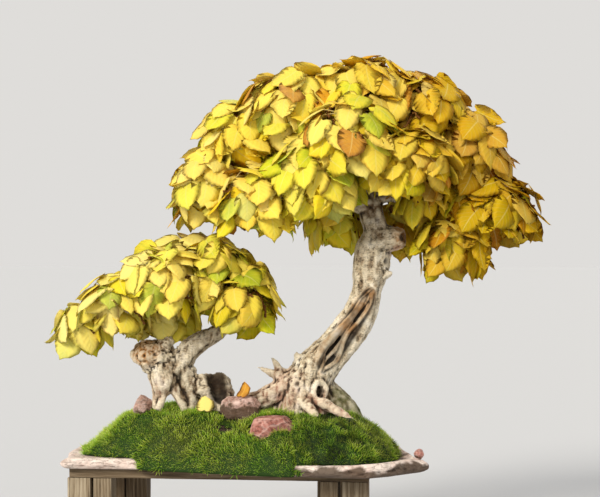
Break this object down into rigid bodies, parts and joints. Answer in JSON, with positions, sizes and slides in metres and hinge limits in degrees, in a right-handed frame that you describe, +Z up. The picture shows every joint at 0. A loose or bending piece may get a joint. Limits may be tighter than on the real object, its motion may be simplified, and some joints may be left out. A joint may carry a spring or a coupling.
{
  "type": "bonsai tree",
  "caption": "Mulberry bonsai in yellow autumn leaf, a tall and a low trunk from one root, on a mossy mound over a thin stone slab on a low wooden stand",
  "frame": {"origin": "on the floor under the middle of the overall box", "axes": "+X to the right along the stand's board, +Y to the back, +Z up; the front of the tree looks to -Y"},
  "size_m": [0.718, 0.3456, 0.7623],
  "materials": {
    "leaves and twigs": "matte yellow autumn leaf",
    "fallen leaves": "dry and matte",
    "mulberry wood": "rough grey-beige bark",
    "moss": "soft green moss",
    "soil": "damp dark soil",
    "pink slab stone": "rough broken stone",
    "red rock": "rough broken stone",
    "pale rock": "rough broken stone",
    "weathered stand wood": "plain weathered boards"
  },
  "bodies": {
    "root": {"back_post_1": "weathered stand wood", "back_post_2": "weathered stand wood", "back_post_3": "weathered stand wood", "back_post_4": "weathered stand wood", "fallen_leaf_orange": "fallen leaves", "fallen_leaf_pale": "fallen leaves", "flat_rock": "pale rock", "foliage_back_left": "leaves and twigs", "foliage_back_low": "leaves and twigs", "foliage_back_right": "leaves and twigs", "foliage_back_top": "leaves and twigs", "foliage_front": "leaves and twigs", "foliage_front_left": "leaves and twigs", "foliage_front_right": "leaves and twigs", "foliage_left_low": "leaves and twigs", "foliage_left_middle": "leaves and twigs", "foliage_left_up": "leaves and twigs", "foliage_low_right": "leaves and twigs", "foliage_low_right_inner": "leaves and twigs", "foliage_right": "leaves and twigs", "foliage_right_inner": "leaves and twigs", "foliage_small_back_left": "leaves and twigs", "foliage_small_back_right": "leaves and twigs", "foliage_small_front": "leaves and twigs", "foliage_small_left": "leaves and twigs", "foliage_small_left_tip": "leaves and twigs", "foliage_small_low_right": "leaves and twigs", "foliage_small_right": "leaves and twigs", "foliage_small_top": "leaves and twigs", "foliage_small_under": "leaves and twigs", "foliage_top_centre": "leaves and twigs", "foliage_top_left": "leaves and twigs", "foliage_top_right": "leaves and twigs", "foliage_under_left": "leaves and twigs", "foliage_under_right": "leaves and twigs", "front_post_1": "weathered stand wood", "front_post_2": "weathered stand wood", "front_post_3": "weathered stand wood", "front_post_4": "weathered stand wood", "front_rock": "red rock", "left_rock": "pale rock", "moss_left": "moss", "moss_right": "moss", "slab_tip_rock": "red rock", "soil": "soil", "stand_board": "weathered stand wood", "stone_slab": "pink slab stone", "tree_wood": "mulberry wood"}
  },
  "joints": []
}
